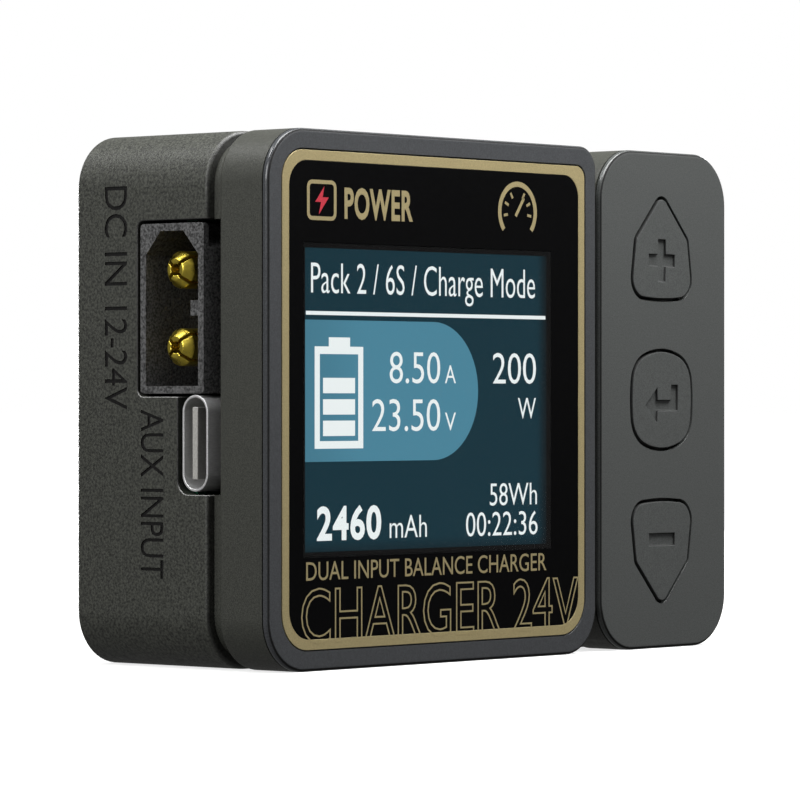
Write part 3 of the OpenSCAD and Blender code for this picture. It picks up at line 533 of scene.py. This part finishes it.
def soften(name, width):
    """Welds a node's faces together and rounds its sharp edges by width millimetres."""
    node = nodes[name]
    weld = node.modifiers.new("weld", "WELD")
    weld.merge_threshold = WELD_REACH
    flat = node.modifiers.new("flat", "DECIMATE")
    flat.decimate_type = "DISSOLVE"
    flat.angle_limit = FLAT_ANGLE
    edge = node.modifiers.new("edge", "BEVEL")
    edge.width = width * MM
    edge.segments = 2
    edge.limit_method = "ANGLE"
    edge.angle_limit = SHARP_ANGLE
    # These nodes' rounded edges take the lighter edge material, a painted highlight.
    if name in PAINTED_HIGHLIGHT_NODES:
        edge.use_clamp_overlap = False
        node.data.materials.append(PAINTED_EDGE_HIGHLIGHT)
        edge.material = 1
    node.modifiers.new("normals", "WEIGHTED_NORMAL").weight = 70


# ---------- lettering and symbols ----------

def new_piece(name, mesh_maker, made):
    """A piece of the case body, from a bmesh that mesh_maker fills."""
    mesh = bpy.data.meshes.new(name)
    work = bmesh.new()
    mesh_maker(work)
    bmesh.ops.remove_doubles(work, verts=work.verts, dist=1e-8)
    bmesh.ops.recalc_face_normals(work, faces=work.faces)
    work.to_mesh(mesh)
    work.free()
    mesh.materials.append(made)
    piece = bpy.data.objects.new(name, mesh)
    bpy.context.scene.collection.objects.link(piece)
    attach(piece, "case")
    return piece


def plane_on_front(x, z, y):
    """Drawing plane on the front, in millimetres: right is +X, up is +Z, out is -Y."""
    return Matrix(((MM, 0, 0, x), (0, 0, -MM, y), (0, MM, 0, z), (0, 0, 0, 1)))


def plane_on_left(y, z, x):
    """Drawing plane on the left side, in millimetres: right is -Z, up is -Y, out is -X."""
    return Matrix(((0, 0, -MM, x), (0, -MM, 0, y), (-MM, 0, 0, z), (0, 0, 0, 1)))


def add_prism(work, plane, outline, low, high):
    """Solid prism over a closed outline, from low to high above the drawing plane."""
    rings = [[work.verts.new(plane @ Vector((x, y, h))) for x, y in outline] for h in (low, high)]
    count = len(outline)
    work.faces.new(rings[0])
    work.faces.new(rings[1])
    for i in range(count):
        j = (i + 1) % count
        work.faces.new((rings[0][i], rings[0][j], rings[1][j], rings[1][i]))


def add_band(work, plane, line, width, low, high, closed=True):
    """Flat strip of one width along a line of points."""
    points = [Vector(p) for p in line]
    count = len(points)
    tiny = 1e-6
    sides = []
    for i, point in enumerate(points):
        before = points[i - 1] if closed or i > 0 else point
        after = points[(i + 1) % count] if closed or i < count - 1 else point
        a = (point - before).normalized() if (point - before).length > tiny else None
        b = (after - point).normalized() if (after - point).length > tiny else None
        a, b = a or b, b or a
        middle = (a + b).normalized() if (a + b).length > tiny else a
        out = Vector((-middle.y, middle.x))
        reach = width / 2 / max(abs(out.dot(Vector((-a.y, a.x)))), 0.5)
        sides.append((point + out * reach, point - out * reach))
    rows = []
    for left, right in sides:
        corners = [(left, low), (right, low), (right, high), (left, high)]
        rows.append([work.verts.new(plane @ Vector((p.x, p.y, h))) for p, h in corners])
    last = count if closed else count - 1
    for i in range(last):
        now, then = rows[i], rows[(i + 1) % count]
        for k in range(4):
            work.faces.new((now[k], now[(k + 1) % 4], then[(k + 1) % 4], then[k]))
    if not closed:
        work.faces.new(rows[0])
        work.faces.new(rows[-1])


def rounded(x0, y0, x1, y1, radii=(0, 0, 0, 0), steps=8):
    """Outline of a rectangle with a radius at each corner, from the lower left, anticlockwise."""
    turns = [(x0, y0, 1, 1, 180), (x1, y0, -1, 1, 270), (x1, y1, -1, -1, 0), (x0, y1, 1, -1, 90)]
    outline = []
    for (x, y, sx, sy, start), r in zip(turns, radii):
        if r <= 0:
            outline.append((x, y))
            continue
        for i in range(steps + 1):
            a = math.radians(start + 90 * i / steps)
            outline.append((x + sx * r + r * math.cos(a), y + sy * r + r * math.sin(a)))
    return outline


def glyph_mesh(words, weight, filled=True, spacing=1.0):
    """Mesh of a line of words in font units: solid letters, or only their outlines."""
    curve = bpy.data.curves.new("words", "FONT")
    curve.body = words
    curve.offset = weight
    curve.space_character = spacing
    curve.extrude = 0.5 if filled else 0
    curve.fill_mode = "BOTH" if filled else "NONE"
    curve.resolution_u = 4
    holder = bpy.data.objects.new("words", curve)
    bpy.context.scene.collection.objects.link(holder)
    bpy.context.view_layer.update()
    evaluated = holder.evaluated_get(bpy.context.evaluated_depsgraph_get())
    mesh = bpy.data.meshes.new_from_object(evaluated)
    bpy.data.objects.remove(holder)
    bpy.data.curves.remove(curve)
    return mesh


def fit_words(mesh, weight, x0, x1, y0, height):
    """Places for the mesh's points: x0 to x1 across, capitals of that height on the line y0."""
    capital = glyph_mesh("H", weight)
    bottom = min(v.co.y for v in capital.vertices)
    up = height / (max(v.co.y for v in capital.vertices) - bottom)
    bpy.data.meshes.remove(capital)
    left = min(v.co.x for v in mesh.vertices)
    across = (x1 - x0) / (max(v.co.x for v in mesh.vertices) - left)
    return [(x0 + (v.co.x - left) * across, y0 + (v.co.y - bottom) * up) for v in mesh.vertices]


def add_words(work, plane, words, x0, x1, y0, height, low, high, weight=0.0):
    """Solid words that fill x0 to x1, with capitals of the given height on the line y0."""
    mesh = glyph_mesh(words, weight, spacing=1 + 3 * max(weight, 0))
    places = fit_words(mesh, weight, x0, x1, y0, height)
    verts = []
    for (x, y), v in zip(places, mesh.vertices):
        verts.append(work.verts.new(plane @ Vector((x, y, low if v.co.z < 0 else high))))
    for face in mesh.polygons:
        work.faces.new([verts[i] for i in face.vertices])
    bpy.data.meshes.remove(mesh)


def loops_of(mesh):
    """Closed loops of points that a mesh's loose edges make."""
    beside = {v.index: [] for v in mesh.vertices}
    for edge in mesh.edges:
        a, b = edge.vertices
        beside[a].append(b)
        beside[b].append(a)
    loops, seen = [], set()
    for start in beside:
        loop, here = [], start
        while here is not None and here not in seen:
            seen.add(here)
            loop.append(here)
            here = next((n for n in beside[here] if n not in seen), None)
        if len(loop) > 2:
            loops.append(loop)
    return loops


def add_outlines(work, plane, words, x0, x1, y0, height, width, low, high, weight=0.0):
    """Words drawn as bands of the given width along the letters' outlines."""
    mesh = glyph_mesh(words, weight, filled=False)
    places = fit_words(mesh, weight, x0, x1, y0, height)
    for loop in loops_of(mesh):
        line = []
        for i in loop:
            if not line or math.dist(places[i], line[-1]) > width / 4:
                line.append(places[i])
        if math.dist(line[0], line[-1]) < width / 4:
            line.pop()
        add_band(work, plane, line, width, low, high)
    bpy.data.meshes.remove(mesh)


# ---------- the display ----------

GLASS_LOW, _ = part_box("lcd_panel")
GLASS_EDGE = 0.7                                  # unlit edge of the display's glass, in mm
SCREEN_W, SCREEN_H = 35.04, 28.03                 # its lit area, in mm
SCREEN_Z = (GLASS_LOW.z - LOW.z) / MM + GLASS_EDGE    # height of its lower edge, in mm
LEFT = GLASS_LOW.x + GLASS_EDGE * MM              # drawings start at the lit area's left edge
SCREEN = plane_on_front(LEFT, LOW.z, GLASS_LOW.y)
LAYER = 0.006                                     # thickness of one drawn layer, in mm
BACK_LAYER = (0.2 * LAYER, LAYER)                 # bottoms and tops of the three layers
BUBBLE_LAYER = (1.2 * LAYER, 2 * LAYER)
WORD_LAYER = (2.2 * LAYER, 3.2 * LAYER)
LIGHT, BOLD = -0.004, 0.028                       # weights of the letters, in font units
READOUT = (
    # words, left and right ends, base line and height of capitals in mm, weight
    ("Pack 2 / 6S / Charge Mode", 0.8, 33.3, 34.9, 2.75, LIGHT),
    ("8.50", 11.8, 19.1, 26.6, 2.9, LIGHT),
    ("A", 19.8, 21.4, 26.6, 1.7, LIGHT),
    ("23.50", 9.3, 19.1, 22.1, 2.95, LIGHT),
    ("V", 19.8, 21.4, 22.1, 1.7, LIGHT),
    ("200", 26.9, 33.45, 26.6, 2.9, LIGHT),
    ("W", 30.7, 33.45, 23.2, 2.0, LIGHT),
    ("2460", 1.6, 10.6, 12.0, 3.15, BOLD),
    ("mAh", 11.8, 17.15, 12.05, 2.1, LIGHT),
    ("58Wh", 26.45, 33.6, 14.85, 2.1, LIGHT),
    ("00:22:36", 22.9, 33.7, 11.95, 2.25, LIGHT),
)


def draw_readout(work):
    """Words and numbers on the display, and the line under the first of them."""
    for words, left, right, base, height, weight in READOUT:
        add_words(work, SCREEN, words, left, right, base, height, *WORD_LAYER, weight)
    add_prism(work, SCREEN, rounded(0.1, 32.85, 34.9, 33.2), *WORD_LAYER)


def draw_battery(work):
    """Battery symbol: an outline with a cap and three bars of charge."""
    add_band(work, SCREEN, rounded(1.65, 20.85, 7.7, 29.6), 0.7, *WORD_LAYER)
    add_prism(work, SCREEN, rounded(3.25, 29.9, 6.2, 30.8), *WORD_LAYER)
    first, pitch, thickness = 21.67, 1.98, 1.42
    for bar in range(3):
        bottom = first + pitch * bar
        add_prism(work, SCREEN, rounded(2.45, bottom, 6.9, bottom + thickness), *WORD_LAYER)


def draw_backlight(work):
    """The whole lit area."""
    lit_area = rounded(0, SCREEN_Z, SCREEN_W, SCREEN_Z + SCREEN_H)
    add_prism(work, SCREEN, lit_area, *BACK_LAYER)


def draw_bubble(work):
    """Lighter panel behind the battery, round at its right end."""
    radius = 6.54
    bubble = rounded(0, 19.3, 24.7, 32.4, (0, radius, radius, 0), 14)
    add_prism(work, SCREEN, bubble, *BUBBLE_LAYER)


def make_display():
    """Picture on the display, in four pieces just off its glass."""
    right_edge = LEFT + SCREEN_W * MM
    lower_edge = LOW.z + SCREEN_Z * MM
    teal = lit("screen_teal", (0.0025, 0.028, 0.0425))
    # The teal glow is dimmed at the right and lower edges: painted shade from the recess round the
    # display.
    fade(teal, "X", right_edge, -1.6, 0.25)
    fade(teal, "Z", lower_edge, 1.2, 0.6)
    blue = lit("screen_blue", (0.069, 0.235, 0.33))
    fade(blue, "X", LEFT, 9, 0.85)
    new_piece("screen_backlight", draw_backlight, teal)
    new_piece("screen_bubble", draw_bubble, blue)
    white = lit("screen_white", (0.87, 0.93, 0.93))
    new_piece("screen_readout", draw_readout, white)
    new_piece("screen_battery", draw_battery, white)


# ---------- prints on the label ----------

LABEL_LOW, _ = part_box("screen_label")
PRINT = plane_on_front(LEFT, LOW.z, LABEL_LOW.y)
INK = 0.012                                       # a print stands this far off the label, in mm
PRINTED = (-INK, INK)                             # from inside the label to outside it


def arc(x, y, radius, start, end, steps):
    """Points on an arc about (x, y), from one angle in degrees to another."""
    turns = [math.radians(start + (end - start) * i / steps) for i in range(steps + 1)]
    return [(x + radius * math.cos(a), y + radius * math.sin(a)) for a in turns]


def ray(x, y, angle, near, far):
    """Line away from (x, y) at an angle in degrees, between two radii."""
    a = math.radians(angle)
    return [(x + r * math.cos(a), y + r * math.sin(a)) for r in (near, far)]


def draw_line(work):
    """Small words over the title."""
    add_words(work, PRINT, "DUAL INPUT BALANCE CHARGER", -0.1, 34.8, 8.4, 1.68, *PRINTED)


def draw_title(work):
    """Large outlined words, whose feet the gold border covers."""
    add_outlines(work, PRINT, "CHARGER 24V", -0.7, 39.7, 2.5, 5.2, 0.16, *PRINTED, 0.02)


def draw_mark(work):
    """Large word at the top left, and the frame beside it."""
    add_words(work, PRINT, "POWER", 5.2, 14.9, 41.8, 2.9, *PRINTED, 0.03)
    add_band(work, PRINT, rounded(0.2, 41.75, 3.9, 45.1, (0.5, 0.5, 0.5, 0.5), 4), 0.36, *PRINTED)


def draw_bolt(work):
    """Lightning bolt inside the frame."""
    bolt = [(2.4, 44.7), (1.15, 43.25), (1.95, 43.25), (1.65, 42.1), (3.0, 43.7), (2.15, 43.7)]
    add_prism(work, PRINT, bolt, *PRINTED)


def draw_gauge(work):
    """Dial symbol: an open ring, ticks and a needle."""
    x, y = 30.4, 43.2
    add_band(work, PRINT, arc(x, y, 2.7, -40, 220, 40), 0.5, *PRINTED, closed=False)
    for angle in (-10, 25, 60, 120, 155, 190):
        add_band(work, PRINT, ray(x, y, angle, 1.5, 2.1), 0.26, *PRINTED, closed=False)
    add_band(work, PRINT, ray(x, y, 55, -0.5, 1.7), 0.34, *PRINTED, closed=False)


def make_prints():
    """Gold words and symbols on the label, and one red bolt."""
    gold = MATERIALS["gold_foil"]
    new_piece("label_line", draw_line, gold)
    new_piece("label_title", draw_title, gold)
    new_piece("label_mark", draw_mark, gold)
    new_piece("label_bolt", draw_bolt, RED)
    new_piece("label_gauge", draw_gauge, gold)


# ---------- words engraved in the side ----------

SHELL_LOW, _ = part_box("rear_shell")
SIDE = plane_on_left(SHELL_LOW.y, LOW.z, LOW.x)
CUT_DEPTH = 0.12                                  # depth of the engraved words, in mm
CUT_HEIGHT = 2.88                                 # height of their capitals, in mm
SIDE_WORDS = (
    # words, heights of their first and last letters, base line behind the shell's front, in mm
    ("DC IN 12-24V", 45.0, 24.1, 13.24),
    ("AUX INPUT", 24.1, 8.4, 8.53),
)


def draw_side_words(work):
    """Letters that run down the side and reach from inside the wall to outside it."""
    for words, top, bottom, base in SIDE_WORDS:
        add_words(work, SIDE, words, -top, -bottom, -base, CUT_HEIGHT, -CUT_DEPTH, 2 * CUT_DEPTH)


def engrave_side():
    """Cuts two lines of words into the rear shell's left side with a hidden cutter."""
    cutter = new_piece("side_words", draw_side_words, ENGRAVED)
    cutter.hide_render = True
    cutter.display_type = "WIRE"
    cut = nodes["rear_shell"].modifiers.new("words", "BOOLEAN")
    cut.operation = "DIFFERENCE"
    cut.solver = "EXACT"
    cut.material_mode = "TRANSFER"
    cut.object = cutter


make_camera()
make_floor()
make_world()
make_light()
dress_nodes()
for node_name, edge_width in SOFT_EDGES.items():
    soften(node_name, edge_width)
make_display()
make_prints()
engrave_side()
bpy.context.scene.view_settings.view_transform = "Standard"
